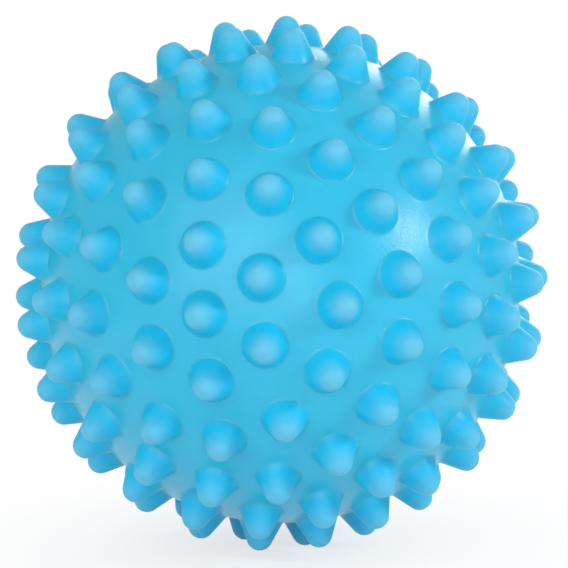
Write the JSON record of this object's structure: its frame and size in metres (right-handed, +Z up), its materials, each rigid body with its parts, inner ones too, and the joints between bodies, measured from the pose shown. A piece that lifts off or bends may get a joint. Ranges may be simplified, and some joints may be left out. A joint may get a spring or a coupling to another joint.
{
  "type": "sensory ball",
  "caption": "Hollow soft vinyl ball covered all over with blunt cone-shaped nubs for gripping and rolling by small hands, with an air valve socket and a pull-out stopper at the back.",
  "frame": {"origin": "centre of the ball", "axes": "+Z up, the nub at the front pole of the pattern along -Y, the valve along +Y"},
  "size_m": [0.1796, 0.1771, 0.1795],
  "materials": {
    "skin": "light blue soft vinyl with a fine blasted grain, semi-matte",
    "socket": "smooth soft vinyl, a little deeper blue than the skin",
    "stopper": "white moulded plastic, satin"
  },
  "bodies": {
    "ball": {"ball_shell": "skin", "valve_socket": "socket"},
    "plug": {"valve_plug": "stopper"}
  },
  "joints": [
    {"name": "plug_pull", "type": "slide", "parent": "ball", "child": "plug", "axis": [0, 1, 0], "range_m": [0, 0.018]}
  ]
}
